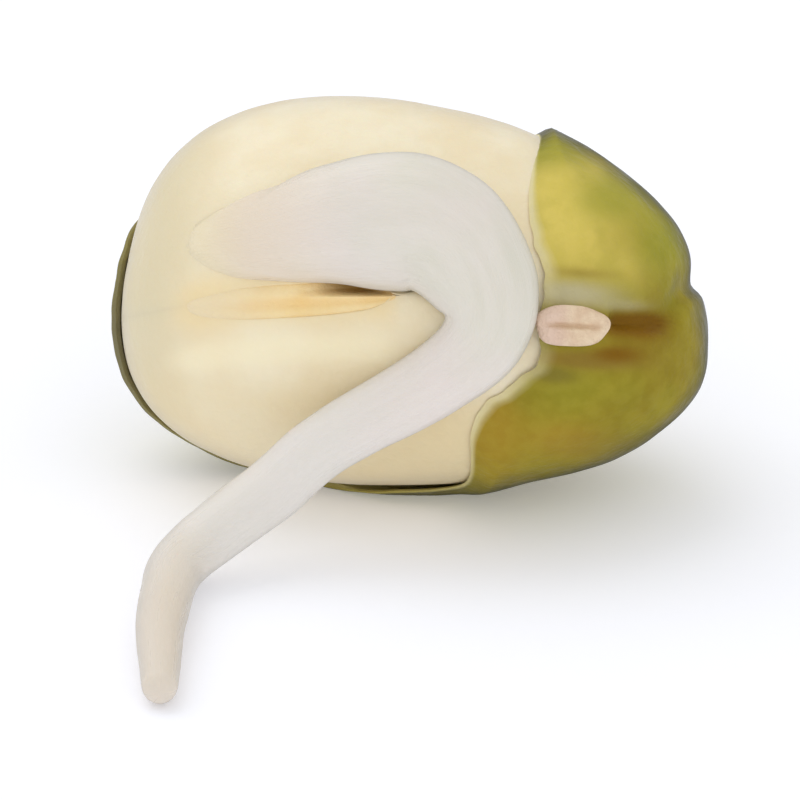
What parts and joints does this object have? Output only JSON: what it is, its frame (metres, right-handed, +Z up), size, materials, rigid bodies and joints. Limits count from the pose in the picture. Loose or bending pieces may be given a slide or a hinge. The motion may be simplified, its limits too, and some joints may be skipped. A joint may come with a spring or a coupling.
{
  "type": "mung bean sprout",
  "caption": "Sprouted mung bean lying on a surface: split green seed coat, cream seed leaves, and a pale hooked stem ending in a slender root.",
  "frame": {"origin": "point of the small flat spot under the seed coat that lies straight below the middle of the seed, on the surface that the sprout lies on", "axes": "+Z up; +X along the seed, from the seed leaves' free end towards the end that the coat closes over; -Y towards the belly of the seed, the hooked stem and the root tip"},
  "size_m": [0.0079, 0.0111, 0.0053],
  "materials": {
    "coat": "thin smooth olive green seed coat with a soft gloss, darker in its creases and paler along the torn edge",
    "hilum": "dry spongy pinkish white scar",
    "seed_leaf": "waxy cream flesh, slightly translucent, warmer in the cleft",
    "first_leaf": "soft yellow leaf tissue",
    "stem": "moist translucent grey white, creamy beige towards the root tip"
  },
  "bodies": {
    "root": {"seed_coat": "coat", "hilum": "hilum", "seed_leaf_upper": "seed_leaf", "seed_leaf_lower": "seed_leaf", "first_leaves": "first_leaf", "stem_and_rootlet": "stem"}
  },
  "joints": []
}
